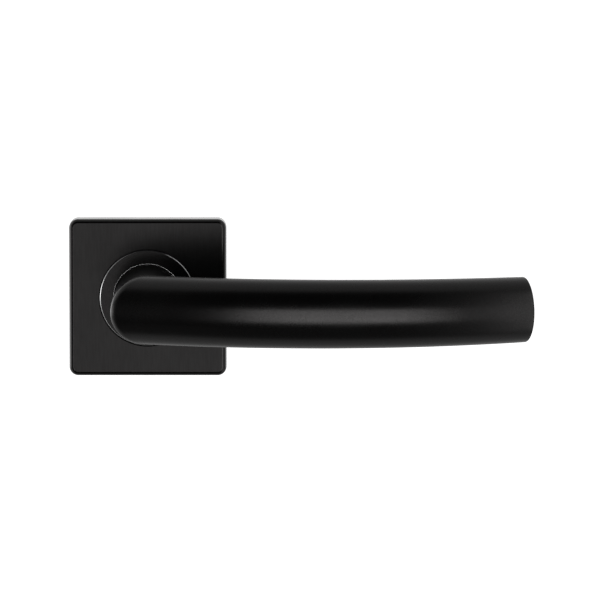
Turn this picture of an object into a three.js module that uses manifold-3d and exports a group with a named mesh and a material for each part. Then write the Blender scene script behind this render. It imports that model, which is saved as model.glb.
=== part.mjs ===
// Door lever handle on a square rose, one door side. Millimetres.
// Frame: origin on the spindle axis at the door's face. +X along the lever, +Y into the door, +Z up.
import * as THREE from 'three';
import { mergeVertices } from 'three/addons/utils/BufferGeometryUtils.js';
import { LoftGeometry } from 'three/addons/geometries/LoftGeometry.js';
import Module from 'manifold-3d';

const wasm = await Module();
wasm.setup();

// ---- driving dimensions ----
const GAP = 0.3; // between pieces that rest on each other
const ROUND = 64; // facets round the main axis
const SMALL_ROUND = 24; // facets round screws and pins

// lever: a mitred tube that leaves the neck and bows outwards in a horizontal arc
const TUBE_R = 11.2;
const TUBE_WALL = 1.6;
const TIP_TAPER = 0.55; // the radius lost by the tip
const ARC_R = 168;
const ARC_APEX_X = 60; // where the arc stands furthest from the door
const ARC_APEX_DEPTH = 50.8;
const ARC_START_X = 11; // the tube is straight from the mitre to here
const TIP_X = 123.3; // tube axis at the end face
const TIP_FACE_ANGLE = THREE.MathUtils.degToRad(16); // end face normal, turned towards the door
const TIP_FILLET = 0.5;
const TIP_WALL = 1.8;
const MITRE_FILLET = 2.2; // distance along the tube from the mitre to where its rounding begins
const NECK_END_Y = -3.4;

// rose
const ROSE_SIZE = 52;
const ROSE_DEPTH = 8;
const ROSE_CORNER_R = 3;
const ROSE_EDGE_W = 1.45; // the rounded front edge, seen from the front
const ROSE_EDGE_DEPTH = 2.4; // and along the side
const COVER_WALL = 1.2;
const COVER_HOLE_R = 16.05;
const RING_R = 15.75;
const RING_PROUD = 0.2;
const RING_BORE_EDGE = 0.15;
const RING_CHAMFER = 0.3;
const RING_CHAMFER_DEPTH = 0.27;
const RUNNING_CLEARANCE = 0.07;
const PLATE_T = 1.6;
const PLATE_SIZE = 48.8;
const PLATE_CORNER_R = 1.4;
const HOUSING_R = 15.5;
const HOUSING_WALL = 1.2;
const HOUSING_FLANGE_R = 16.6; // closes the gap between the cover and the ring from behind
const HOUSING_FLANGE_T = 0.4;

// turning parts below the neck
const STUB_R = 7.4;
const STUB_END_Y = 4;
const DRIVER_T = 1;
const DRIVER_R = 13.9;
const TURN = THREE.MathUtils.degToRad(45);
const STOP_R = 10.4; // circle that the stop pins stand on
const PIN_R = 0.8;
const SPINDLE = 8;
const SOCKET = 8.4;
const SPINDLE_END_Y = 52;
const BUSH_R = 8.6;
const BUSH_FLANGE_R = 9.9;
const BUSH_FLANGE_T = 0.6;

// return spring
const WIRE_R = 0.5;
const COIL_R = 12.6;
const COIL_TURNS = 2;
const COIL_PITCH = 1.2;

// fixings
const BOLT_X = 19;
const BOLT_R = 2;
const POST_R = 3.5;
const POST_LENGTH = 6;
const SCREW_AT = 18.5;
const GRUB_Y = -15;
const GRUB_R = 2.9;

// ---- helpers ----
function toSolid(geometry) {
  const plain = new THREE.BufferGeometry();
  plain.setAttribute('position', geometry.getAttribute('position'));
  plain.setIndex(geometry.getIndex());
  const merged = mergeVertices(plain, 1e-4);
  const triVerts = new Uint32Array(merged.index.array);
  const build = () => new wasm.Manifold(
    new wasm.Mesh({ numProp: 3, vertProperties: merged.attributes.position.array, triVerts }),
  );
  let made = build();
  if (made.volume() < 0) {
    for (let i = 0; i < triVerts.length; i += 3) {
      [triVerts[i + 1], triVerts[i + 2]] = [triVerts[i + 2], triVerts[i + 1]];
    }
    made = build();
  }
  return made;
}

function toGeometry(made) {
  const mesh = made.getMesh();
  const geometry = new THREE.BufferGeometry();
  const points = new Float32Array(mesh.numVert * 3);
  for (let i = 0; i < mesh.numVert; i += 1) {
    const first = i * mesh.numProp;
    points.set(mesh.vertProperties.subarray(first, first + 3), i * 3);
  }
  geometry.setAttribute('position', new THREE.BufferAttribute(points, 3));
  geometry.setIndex(new THREE.BufferAttribute(new Uint32Array(mesh.triVerts), 1));
  geometry.computeVertexNormals();
  return geometry;
}

// A solid of revolution about the Y axis. The profile is a list of [radius, y].
function revolve(profile, segments = ROUND) {
  return toSolid(new THREE.LatheGeometry(profile.map(([r, y]) => new THREE.Vector2(r, y)), segments));
}

// A closed ring profile: rectangle from inner radius to outer radius, y0 to y1.
function annulus(inner, outer, y0, y1, segments = ROUND) {
  return revolve([[inner, y0], [outer, y0], [outer, y1], [inner, y1], [inner, y0]], segments);
}

function rod(radius, y0, y1, segments = SMALL_ROUND) {
  return revolve([[0, y0], [radius, y0], [radius, y1], [0, y1]], segments);
}

// A box from one corner to the other, each [x, y, z].
function block(low, high) {
  const size = high.map((v, i) => v - low[i]);
  const box = new THREE.BoxGeometry(...size);
  box.translate(...low.map((v, i) => v + size[i] / 2));
  return toSolid(box);
}

// A flat shape drawn in X and Z, given thickness from y0 to y1.
function plate(shape, y0, y1, curveSegments = 16) {
  const flat = new THREE.ExtrudeGeometry(shape, { depth: y1 - y0, bevelEnabled: false, curveSegments });
  flat.applyMatrix4(new THREE.Matrix4().set(1, 0, 0, 0, 0, 0, -1, y1, 0, 1, 0, 0, 0, 0, 0, 1));
  return toSolid(flat);
}

function moved(made, x, y, z) {
  return made.translate([x, y, z]);
}

function turnedAboutY(made, angle) {
  return made.rotate([0, -THREE.MathUtils.radToDeg(angle), 0]);
}

// Outline of a rounded square at depth y, as points for a loft.
function roundedSquare(half, corner, y, perCorner = 6) {
  const points = [];
  for (let quarter = 0; quarter < 4; quarter += 1) {
    for (let i = 0; i <= perCorner; i += 1) {
      const angle = (quarter + i / perCorner) * (Math.PI / 2);
      const cx = (half - corner) * (quarter === 0 || quarter === 3 ? 1 : -1);
      const cz = (half - corner) * (quarter < 2 ? 1 : -1);
      points.push(new THREE.Vector3(cx + corner * Math.cos(angle), y, cz + corner * Math.sin(angle)));
    }
  }
  return points;
}

function middle(ring) {
  const sum = ring.reduce((total, point) => total.add(point), new THREE.Vector3());
  return sum.divideScalar(ring.length);
}

// A capped skin over rings of points, which are turned round if they wind the wrong way.
function loft(sections) {
  const first = sections[0];
  const forward = middle(sections[1]).sub(middle(first));
  const area = new THREE.Vector3();
  first.forEach((point, i) => {
    area.add(new THREE.Vector3().crossVectors(point, first[(i + 1) % first.length]));
  });
  const ordered = area.dot(forward) > 0 ? sections : sections.map((ring) => [...ring].reverse());
  return toSolid(new LoftGeometry(ordered, { capStart: true, capEnd: true }));
}

// A cross recess for a screwdriver, sunk from the head's face at y0 by the depth.
function crossRecess(y0, depth, reach) {
  const half = 0.45;
  const across = block([-reach, y0 - 1, -half], [reach, y0 + depth, half]);
  const upright = block([-half, y0 - 1, -reach], [half, y0 + depth, reach]);
  return across.add(upright);
}

// ---- lever ----
const arcCentre = new THREE.Vector2(ARC_APEX_X, ARC_R - ARC_APEX_DEPTH);
const startAngle = Math.asin((ARC_START_X - ARC_APEX_X) / ARC_R);
const endAngle = Math.asin((TIP_X - ARC_APEX_X) / ARC_R);

function arcPoint(angle) {
  return new THREE.Vector2(
    arcCentre.x + ARC_R * Math.sin(angle),
    arcCentre.y - ARC_R * Math.cos(angle),
  );
}

const startTangent = new THREE.Vector2(Math.cos(startAngle), Math.sin(startAngle));
const straightLength = ARC_START_X / startTangent.x;
const mitreY = arcPoint(startAngle).y - startTangent.y * straightLength;
const mitreSlope = Math.tan((Math.PI / 2 + startAngle) / 2); // half of the turn at the elbow
const mitreCentre = new THREE.Vector2(0, mitreY);

function tubeRadius(x) {
  return TUBE_R - TIP_TAPER * Math.max(0, x / TIP_X) ** 3;
}

// One ring of the neck. lean 0 is square to the neck, lean 1 lies in the mitre.
function neckRing(radius, y, lean) {
  const ring = [];
  for (let i = 0; i < ROUND; i += 1) {
    const theta = (i / ROUND) * 2 * Math.PI;
    const side = radius * Math.cos(theta);
    ring.push(new THREE.Vector3(side, y + lean * mitreSlope * side, radius * Math.sin(theta)));
  }
  return ring;
}

// One ring of the arm. along slides each point down the tube as far as lean times its side offset.
function armRing(centre, tangentAngle, radius, along, lean) {
  const tangent = new THREE.Vector2(Math.cos(tangentAngle), Math.sin(tangentAngle));
  const ring = [];
  for (let i = 0; i < ROUND; i += 1) {
    const theta = (i / ROUND) * 2 * Math.PI;
    const side = radius * Math.cos(theta);
    const slide = along + lean * side;
    ring.push(new THREE.Vector3(
      centre.x - tangent.y * side + tangent.x * slide,
      centre.y + tangent.x * side + tangent.y * slide,
      radius * Math.sin(theta),
    ));
  }
  return ring;
}

// The elbow's rings: each surface line turns from the neck to the arm through a parabola.
function elbowRings(radius, reach, steps) {
  const before = neckRing(radius, mitreY + reach, 1);
  const corner = neckRing(radius, mitreY, 1);
  const after = armRing(mitreCentre, startAngle, radius, reach, mitreSlope);
  const rings = [];
  for (let s = 0; s <= steps; s += 1) {
    const t = s / steps;
    rings.push(corner.map((point, i) => new THREE.Vector3()
      .addScaledVector(before[i], (1 - t) ** 2)
      .addScaledVector(point, 2 * t * (1 - t))
      .addScaledVector(after[i], t ** 2)));
  }
  return rings;
}

// Rings of the arm from its straight start to the tip, thinner than the outside by inset.
function armRings(inset, steps, lastAngle) {
  const rings = [];
  for (let s = 0; s <= steps; s += 1) {
    const angle = startAngle + ((lastAngle - startAngle) * s) / steps;
    const centre = arcPoint(angle);
    rings.push(armRing(centre, angle, tubeRadius(centre.x) - inset, 0, 0));
  }
  return rings;
}

function tipRings(steps) {
  const lean = Math.tan(endAngle - TIP_FACE_ANGLE);
  const centre = arcPoint(endAngle);
  const radius = tubeRadius(TIP_X);
  const rings = [];
  for (let s = 0; s <= steps; s += 1) {
    const beta = (s / steps) * (Math.PI / 2);
    const inset = TIP_FILLET * (1 - Math.cos(beta));
    const back = TIP_FILLET * (1 - Math.sin(beta));
    rings.push(armRing(centre, endAngle, radius - inset, -back, lean));
  }
  return rings;
}

function makeLever() {
  const lastSquareRing = endAngle - 5 / ARC_R;
  const outside = [
    neckRing(TUBE_R, NECK_END_Y, 0),
    ...elbowRings(TUBE_R, MITRE_FILLET, 6),
    ...armRings(0, 18, lastSquareRing),
    ...tipRings(5),
  ];
  const inside = [
    neckRing(TUBE_R - TUBE_WALL, NECK_END_Y + 1, 0),
    ...elbowRings(TUBE_R - TUBE_WALL, MITRE_FILLET, 3),
    ...armRings(TUBE_WALL, 10, endAngle - TIP_WALL / ARC_R),
  ];
  return loft(outside).subtract(loft(inside)).subtract(grubHole());
}

// ---- neck core, spindle and grub screw ----
function grubHole() {
  const hole = rod(GRUB_R + GAP, 0, TUBE_R + 2);
  return moved(hole.rotate([-90, 0, 0]), 0, GRUB_Y, 0);
}

const CORE_R = TUBE_R - TUBE_WALL - 0.2;
const CORE_FAR_Y = -31;
const SOCKET_DEPTH_Y = -27;
const GROOVE_R = 6.6;
const CLIP_Y = 2;
const CLIP_T = 1;
const KEY_WIDTH = 2.4;
const KEY_DEPTH = 0.9;

function makeNeckCore() {
  const grooveNear = CLIP_Y - 0.1;
  const grooveFar = CLIP_Y + CLIP_T + 0.1;
  const body = revolve([
    [0, CORE_FAR_Y], [CORE_R - 1, CORE_FAR_Y], [CORE_R, CORE_FAR_Y + 1], [CORE_R, NECK_END_Y],
    [STUB_R, NECK_END_Y], [STUB_R, grooveNear], [GROOVE_R, grooveNear], [GROOVE_R, grooveFar],
    [STUB_R, grooveFar], [STUB_R, STUB_END_Y - 0.4], [STUB_R - 0.4, STUB_END_Y], [0, STUB_END_Y],
  ]);
  const half = SOCKET / 2;
  const socket = block([-half, SOCKET_DEPTH_Y, -half], [half, STUB_END_Y + 1, half]);
  const keyFloor = STUB_R - KEY_DEPTH;
  const keyway = block(
    [keyFloor, NECK_END_Y + 0.1, -KEY_WIDTH / 2],
    [STUB_R + 1, STUB_END_Y + 1, KEY_WIDTH / 2],
  );
  return body.subtract(socket).subtract(keyway).subtract(turnedAboutY(keyway, Math.PI)).subtract(grubHole());
}

function makeSpindle() {
  const half = SPINDLE / 2;
  const chamfer = 0.6;
  const near = SOCKET_DEPTH_Y + 0.5;
  return loft([
    roundedSquare(half - chamfer, 0.4, near, 2),
    roundedSquare(half, 0.4, near + chamfer, 2),
    roundedSquare(half, 0.4, SPINDLE_END_Y - chamfer, 2),
    roundedSquare(half - chamfer, 0.4, SPINDLE_END_Y, 2),
  ]);
}

function makeGrubScrew() {
  const tip = SPINDLE / 2 + GAP;
  const outer = TUBE_R - 0.4;
  const cup = 0.7;
  const cupDepth = 0.5;
  const tipChamfer = 0.6;
  const outerChamfer = 0.3;
  const hexR = 1.7;
  const hexFloor = outer - 3;
  const body = revolve([
    [0, tip + cupDepth], [cup, tip], [GRUB_R - tipChamfer, tip], [GRUB_R, tip + tipChamfer],
    [GRUB_R, outer - outerChamfer], [GRUB_R - outerChamfer, outer], [0, outer],
  ], SMALL_ROUND);
  const hexSocket = revolve([[0, hexFloor], [hexR, hexFloor], [hexR, outer + 1], [0, outer + 1]], 6);
  return moved(body.subtract(hexSocket).rotate([-90, 0, 0]), 0, GRUB_Y, 0);
}

// ---- stop and drive ----
const DRIVER_FAR_Y = -PLATE_T - GAP;
const DRIVER_NEAR_Y = DRIVER_FAR_Y - DRIVER_T;
const PIN_ANGLES = [Math.PI / 2, -Math.PI / 2];
const SPRING_LEG_ANGLE = THREE.MathUtils.degToRad(20);

function onCircle(radius, angle) {
  return [radius * Math.cos(angle), radius * Math.sin(angle)];
}

// A slot along a circle, from one pin position to the other, drawn as a hole in a flat shape.
function arcSlot(radius, halfWidth, from, to) {
  const slot = new THREE.Path();
  const [x0, z0] = onCircle(radius, from);
  const [x1, z1] = onCircle(radius, to);
  slot.absarc(0, 0, radius + halfWidth, from, to, false);
  slot.absarc(x1, z1, halfWidth, to, to + Math.PI, false);
  slot.absarc(0, 0, radius - halfWidth, to, from, true);
  slot.absarc(x0, z0, halfWidth, from + Math.PI, from + 2 * Math.PI, false);
  return slot;
}

function makeDriverPlate() {
  const disc = annulus(STUB_R + 0.2, DRIVER_R, DRIVER_NEAR_Y, DRIVER_FAR_Y);
  const keyHalf = KEY_WIDTH / 2 - 0.2;
  const key = block(
    [STUB_R - KEY_DEPTH + 0.2, DRIVER_NEAR_Y, -keyHalf],
    [STUB_R + 0.6, DRIVER_FAR_Y, keyHalf],
  );
  let driver = disc.add(key).add(turnedAboutY(key, Math.PI));
  const slotHalf = PIN_R + 0.2;
  for (const angle of PIN_ANGLES) {
    const shape = new THREE.Shape(arcSlot(STOP_R, slotHalf, angle, angle + TURN).getPoints(10));
    driver = driver.subtract(plate(shape, DRIVER_NEAR_Y - 1, DRIVER_FAR_Y + 1));
  }
  const [legX, legZ] = onCircle(COIL_R, SPRING_LEG_ANGLE);
  const legHole = moved(rod(WIRE_R + 0.2, DRIVER_NEAR_Y - 1, DRIVER_FAR_Y + 1, 16), legX, 0, legZ);
  return driver.subtract(legHole);
}

function makeStopPin(angle) {
  const [x, z] = onCircle(STOP_R, angle);
  return moved(rod(PIN_R, DRIVER_NEAR_Y - 0.1, -0.3, 16), x, 0, z);
}

function makeThrustWasher() {
  const outer = 10.2;
  const near = GAP + BUSH_FLANGE_T + GAP;
  return annulus(STUB_R + 0.2, outer, near, near + 0.5);
}

function makeCirclip() {
  const inner = GROOVE_R + 0.1;
  const outer = 9.2;
  const earR = 1.5;
  const earHoleR = 0.6;
  const gapHalf = THREE.MathUtils.degToRad(20);
  const clip = new THREE.Shape();
  clip.absarc(0, 0, outer, -Math.PI / 2 + gapHalf, -Math.PI / 2 - gapHalf + 2 * Math.PI, false);
  clip.absarc(0, 0, inner, -Math.PI / 2 - gapHalf + 2 * Math.PI, -Math.PI / 2 + gapHalf, true);
  let ring = plate(clip, CLIP_Y, CLIP_Y + CLIP_T, 40);
  for (const side of [-1, 1]) {
    const [x, z] = onCircle(outer - earHoleR, -Math.PI / 2 + side * (gapHalf + 0.09));
    const ear = moved(annulus(earHoleR, earR, CLIP_Y, CLIP_Y + CLIP_T, 16), x, 0, z);
    const hole = moved(rod(earHoleR, CLIP_Y - 1, CLIP_Y + CLIP_T + 1, 16), x, 0, z);
    ring = ring.subtract(hole).add(ear);
  }
  return ring;
}

// ---- return spring: outward leg in the housing, coils, leg into the driver plate ----
class SpringWire extends THREE.Curve {
  getPoint(t, target = new THREE.Vector3()) {
    const legShare = 0.06; // of the curve's parameter, for each leg
    const outwardLeg = 2.6;
    const inwardLeg = 1.5;
    const top = -ROSE_DEPTH + COVER_WALL + 0.2 + WIRE_R + 0.05;
    const drop = COIL_TURNS * COIL_PITCH;
    const firstAngle = SPRING_LEG_ANGLE + COIL_TURNS * 2 * Math.PI;
    if (t < legShare) {
      const out = 1 - t / legShare;
      const [x, z] = onCircle(COIL_R + out * outwardLeg, firstAngle);
      return target.set(x, top, z);
    }
    const share = Math.min(1, (t - legShare) / (1 - 2 * legShare));
    const [x, z] = onCircle(COIL_R, firstAngle - share * COIL_TURNS * 2 * Math.PI);
    const down = Math.max(0, (t - 1 + legShare) / legShare);
    return target.set(x, top + share * drop + down * inwardLeg, z);
  }
}

function makeReturnSpring() {
  const section = new THREE.Shape().absarc(0, 0, WIRE_R, 0, 2 * Math.PI);
  return toSolid(new THREE.ExtrudeGeometry(section, {
    steps: 132, bevelEnabled: false, curveSegments: 4, extrudePath: new SpringWire(),
  }));
}

// ---- rose ----
function makeRoseCover() {
  const half = ROSE_SIZE / 2;
  const front = -ROSE_DEPTH;
  const innerHalf = half - COVER_WALL;
  const sections = [];
  const steps = 5;
  for (let s = 0; s <= steps; s += 1) {
    const beta = (s / steps) * (Math.PI / 2);
    const inset = ROSE_EDGE_W * (1 - Math.sin(beta));
    const y = front + ROSE_EDGE_DEPTH * (1 - Math.cos(beta));
    sections.push(roundedSquare(half - inset, ROSE_CORNER_R - inset, y));
  }
  sections.push(roundedSquare(half, ROSE_CORNER_R, 0));
  const hollow = [1, front + COVER_WALL].map((y) => (
    roundedSquare(innerHalf, ROSE_CORNER_R - COVER_WALL, y)));
  const edge = 0.12;
  const hole = revolve([
    [0, front - 1], [COVER_HOLE_R + edge + 1, front - 1], [COVER_HOLE_R, front + edge],
    [COVER_HOLE_R, front + COVER_WALL + 1], [0, front + COVER_WALL + 1],
  ]);
  return loft(sections).subtract(loft(hollow)).subtract(hole);
}

function makeGuideRing() {
  const bore = TUBE_R + RUNNING_CLEARANCE;
  const front = -ROSE_DEPTH - RING_PROUD;
  const back = -ROSE_DEPTH + COVER_WALL - 0.1;
  return revolve([
    [bore, back], [bore, front + RING_BORE_EDGE], [bore + RING_BORE_EDGE, front],
    [RING_R - RING_CHAMFER, front], [RING_R, front + RING_CHAMFER_DEPTH], [RING_R, back], [bore, back],
  ]);
}

function makeHousing() {
  const near = -ROSE_DEPTH + COVER_WALL + 0.2;
  const inner = HOUSING_R - HOUSING_WALL;
  const body = revolve([
    [inner, near], [HOUSING_FLANGE_R, near], [HOUSING_FLANGE_R, near + HOUSING_FLANGE_T],
    [HOUSING_R, near + HOUSING_FLANGE_T], [HOUSING_R, -PLATE_T - GAP], [inner, -PLATE_T - GAP],
    [inner, near],
  ]);
  const notchDepth = 2 * WIRE_R + 0.5;
  const notch = block([inner - 2, near - 1, -0.8], [HOUSING_FLANGE_R + 1, near + notchDepth, 0.8]);
  return body.subtract(turnedAboutY(notch, SPRING_LEG_ANGLE));
}

function makeBaseBush() {
  const bore = STUB_R + 0.06;
  return revolve([
    [bore, -PLATE_T], [BUSH_R, -PLATE_T], [BUSH_R, GAP], [BUSH_FLANGE_R, GAP],
    [BUSH_FLANGE_R, GAP + BUSH_FLANGE_T], [bore, GAP + BUSH_FLANGE_T], [bore, -PLATE_T],
  ]);
}

// Makes a piece for each corner, or each end of two edges, from the signs of its X and Z.
function forEachCorner(make) {
  return [[-1, -1], [-1, 1], [1, -1], [1, 1]].map(([x, z]) => make(x, z));
}

function makeBasePlate() {
  let made = loft([
    roundedSquare(PLATE_SIZE / 2, PLATE_CORNER_R, -PLATE_T, 4),
    roundedSquare(PLATE_SIZE / 2, PLATE_CORNER_R, 0, 4),
  ]);
  const chamfer = 0.4;
  const screwHoleR = 2.1;
  for (const side of [-1, 1]) {
    const post = revolve([
      [0, -PLATE_T / 2], [POST_R, -PLATE_T / 2], [POST_R, POST_LENGTH - chamfer],
      [POST_R - chamfer, POST_LENGTH], [0, POST_LENGTH],
    ], SMALL_ROUND);
    const hole = rod(BOLT_R + 0.3, -PLATE_T - 1, POST_LENGTH + 1);
    made = made.add(moved(post, side * BOLT_X, 0, 0)).subtract(moved(hole, side * BOLT_X, 0, 0));
  }
  made = made.subtract(rod(BUSH_R + GAP, -PLATE_T - 1, 1, ROUND));
  for (const angle of PIN_ANGLES) {
    const [x, z] = onCircle(STOP_R, angle);
    made = made.subtract(moved(rod(PIN_R + 0.15, -PLATE_T - 1, 1, 16), x, 0, z));
  }
  forEachCorner((x, z) => {
    made = made.subtract(moved(rod(screwHoleR, -PLATE_T - 1, 1), x * SCREW_AT, 0, z * SCREW_AT));
  });
  return made;
}

const CLIP_WIDTH = 8;
const CLIP_X = 8; // each side of the middle of an edge

// A leaf clip at one edge: a foot on the base plate and a leaf that bears on the cover's inner wall.
function makeCoverClip(xSide, zSide) {
  const foot = 17.4;
  const wall = ROSE_SIZE / 2 - COVER_WALL - GAP;
  const floor = -PLATE_T - GAP;
  const t = 0.5; // thickness of the strip
  const outline = [
    [foot, floor], [wall - 0.5, floor], [wall - 0.3, floor - 2.2], [wall, floor - 2.8],
    [wall - 0.6, floor - 4], [wall - 0.6 - t, floor - 4], [wall - t - 0.1, floor - 2.8],
    [wall - t - 0.4, floor - 2.2], [wall - t - 0.6, floor - t], [foot, floor - t],
  ];
  const shape = new THREE.Shape(outline.map(([z, y]) => new THREE.Vector2(z, y)));
  const strip = new THREE.ExtrudeGeometry(shape, { depth: CLIP_WIDTH, bevelEnabled: false });
  const x0 = xSide * CLIP_X + CLIP_WIDTH / 2;
  // drawn as (z, y), thickness along -X
  strip.applyMatrix4(new THREE.Matrix4().set(
    0, 0, -1, x0,
    0, 1, 0, 0,
    zSide, 0, 0, 0,
    0, 0, 0, 1,
  ));
  return toSolid(strip);
}

// ---- fixings ----
function makeFixingBolt(side) {
  const seat = -PLATE_T - GAP;
  const headR = 3;
  const headT = 2.4;
  const edge = 0.5;
  const end = 44;
  const chamfer = 0.6;
  const body = revolve([
    [0, seat - headT], [headR - edge, seat - headT], [headR, seat - headT + edge],
    [headR, seat], [BOLT_R, seat], [BOLT_R, end - chamfer], [BOLT_R - chamfer, end],
    [0, end],
  ], SMALL_ROUND);
  return moved(body.subtract(crossRecess(seat - headT, 1.3, 1.8)), side * BOLT_X, 0, 0);
}

function makeSleeveNut(side) {
  const near = 35;
  const flange = 47;
  const end = 49;
  const bore = BOLT_R + 0.2;
  const sleeveR = 3.2;
  const flangeR = 5;
  const edge = 0.5;
  const body = revolve([
    [bore, near], [sleeveR, near], [sleeveR, flange - 1.2], [flangeR, flange], [flangeR, end - edge],
    [flangeR - edge, end], [0, end], [0, flange - 1], [bore, flange - 1], [bore, near],
  ], SMALL_ROUND);
  const slot = block([-6, end - 0.9, -0.5], [6, end + 1, 0.5]);
  return moved(body.subtract(slot), side * BOLT_X, 0, 0);
}

function makeWoodScrew(xSide, zSide) {
  const seat = -PLATE_T - GAP;
  const headR = 3.3;
  const headT = 2;
  const shank = 1.5;
  const shankEnd = 1;
  const core = 1.2;
  const crest = 1.75;
  const pitch = 2;
  const threadEnd = 14;
  const tip = 18;
  const profile = [
    [0, seat - headT], [headR - 0.8, seat - headT], [headR, seat - headT + 0.9], [headR, seat],
    [shank, seat], [shank, shankEnd],
  ];
  for (let y = shankEnd + 1; y < threadEnd; y += pitch) {
    profile.push([core, y], [core, y + pitch / 2], [crest, y + pitch * 0.75]);
  }
  profile.push([core, threadEnd + 0.2], [0, tip]);
  const body = revolve(profile, 16);
  const screw = body.subtract(crossRecess(seat - headT, 1.1, 1.7));
  return moved(screw, xSide * SCREW_AT, 0, zSide * SCREW_AT);
}

// ---- assembly ----
const FINISH = {
  black: { color: 0x161616, roughness: 0.42, metalness: 0.6 },
  ring: { color: 0x141414, roughness: 0.38, metalness: 0.6 },
  zinc: { color: 0x9a9c9e, roughness: 0.4, metalness: 0.9 },
  steel: { color: 0x8a8d90, roughness: 0.32, metalness: 1 },
  spring: { color: 0x6f7276, roughness: 0.3, metalness: 1 },
  nylon: { color: 0xe6e2d8, roughness: 0.55, metalness: 0 },
  polymer: { color: 0x2b2c2e, roughness: 0.6, metalness: 0 },
};

const group = new THREE.Group();
group.name = 'door_lever_handle';

function put(name, made, finish) {
  const material = new THREE.MeshStandardMaterial({ name, ...FINISH[finish] });
  const mesh = new THREE.Mesh(toGeometry(made), material);
  mesh.name = name;
  group.add(mesh);
}

put('lever', makeLever(), 'black');
put('neck_core', makeNeckCore(), 'zinc');
put('grub_screw', makeGrubScrew(), 'steel');
put('driver_plate', makeDriverPlate(), 'steel');
put('thrust_washer', makeThrustWasher(), 'nylon');
put('circlip', makeCirclip(), 'spring');
put('spindle', makeSpindle(), 'steel');

put('rose_cover', makeRoseCover(), 'black');
put('guide_ring', makeGuideRing(), 'ring');
put('base_plate', makeBasePlate(), 'zinc');
put('spring_housing', makeHousing(), 'polymer');
put('base_bush', makeBaseBush(), 'nylon');
put('return_spring', makeReturnSpring(), 'spring');
PIN_ANGLES.forEach((angle, i) => put(`stop_pin_${i + 1}`, makeStopPin(angle), 'steel'));
[-1, 1].forEach((side, i) => {
  put(`fixing_bolt_${i + 1}`, makeFixingBolt(side), 'steel');
  put(`sleeve_nut_${i + 1}`, makeSleeveNut(side), 'steel');
});
forEachCorner(makeWoodScrew).forEach((made, i) => put(`wood_screw_${i + 1}`, made, 'steel'));
forEachCorner(makeCoverClip).forEach((made, i) => put(`cover_clip_${i + 1}`, made, 'spring'));

export default group;
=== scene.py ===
"""Door lever handle on a square rose: the looks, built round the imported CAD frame.

Metres. Origin on the spindle's axis at the door's face, +X along the lever, +Y into the door, +Z up.
"""

import math

import bmesh
import bpy
from mathutils import Matrix, Vector


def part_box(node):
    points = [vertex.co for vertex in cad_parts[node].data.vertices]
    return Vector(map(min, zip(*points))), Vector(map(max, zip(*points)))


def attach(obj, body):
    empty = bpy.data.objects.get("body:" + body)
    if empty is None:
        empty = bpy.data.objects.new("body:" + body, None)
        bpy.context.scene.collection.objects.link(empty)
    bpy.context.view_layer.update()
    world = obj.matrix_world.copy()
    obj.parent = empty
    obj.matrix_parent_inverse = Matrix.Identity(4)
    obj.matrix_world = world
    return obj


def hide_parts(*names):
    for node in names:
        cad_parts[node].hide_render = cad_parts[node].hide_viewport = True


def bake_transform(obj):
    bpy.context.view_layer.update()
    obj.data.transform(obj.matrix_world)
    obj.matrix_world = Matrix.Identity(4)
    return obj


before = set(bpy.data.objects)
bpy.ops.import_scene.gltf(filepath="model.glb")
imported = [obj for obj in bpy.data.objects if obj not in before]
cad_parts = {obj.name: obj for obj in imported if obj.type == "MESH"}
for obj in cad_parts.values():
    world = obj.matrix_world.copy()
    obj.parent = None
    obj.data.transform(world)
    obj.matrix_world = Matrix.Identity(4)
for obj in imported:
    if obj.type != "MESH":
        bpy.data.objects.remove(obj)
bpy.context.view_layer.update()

MM = 0.001
TURN = 2 * math.pi
SHARP = math.radians(35)

# ---- sizes read from the frame ----
cover_low, cover_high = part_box("rose_cover")
ring_low, ring_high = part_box("guide_ring")
plate_low, plate_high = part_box("base_plate")
lever_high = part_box("lever")[1]
spindle_low, spindle_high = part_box("spindle")
bush_low, bush_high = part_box("base_bush")
washer_low, washer_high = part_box("thrust_washer")

# ---- lever ----
BAR_RADIUS = lever_high.z
BAR_WALL = 1.6 * MM
BAR_SIDES = 144
ELBOW_STEPS = 14
ARM_STEPS = 60
BORE_ELBOW_STEPS = 6
BORE_ARM_STEPS = 24
NECK_RIM = 0.25 * MM
TIP_TAPER = 0.55 * MM
ARC_RADIUS = 168 * MM
ARC_APEX_X = 60 * MM
ARC_APEX_DEPTH = 50.8 * MM
ARC_START_X = 11 * MM
TIP_X = 123.3 * MM
TIP_FACE_ANGLE = math.radians(16)
TIP_FILLET = 0.5 * MM
TIP_FILLET_STEPS = 8
TIP_FACE_RINGS = (0.75, 0.5, 0.25, 0.02)  # shares of the flat end face's radius
TIP_WALL = 1.8 * MM
TIP_LEAD = 3 * MM  # the arm's even rings stop this far before the tip
MITRE_ROUNDING = 2.2 * MM
GRUB_Y = -15 * MM
GRUB_HOLE = 3.2 * MM
GRUB_SIDES = 48

# ---- rose ----
ROSE_HALF = cover_high.x
ROSE_FRONT = cover_low.y
ROSE_CORNER = 3 * MM
ROSE_EDGE = 1.45 * MM
ROSE_EDGE_DEPTH = 2.4 * MM
ROSE_EDGE_STEPS = 14
COVER_WALL = 1.2 * MM
COVER_HOLE = 16.15 * MM
COVER_RIM = 0.2 * MM
HOLE_EDGE = 0.05 * MM
HOLE_EDGE_STEPS = 5
RING_CHAMFER = 0.18 * MM
RING_CHAMFER_DEPTH = 0.162 * MM
RING_SIDES = 192
BEAD_WIDTH = 0.15 * MM
BEAD_STEPS = 12
BEAD_GROOVE = 0.2 * MM
RING_BORE = 11.27 * MM

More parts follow.
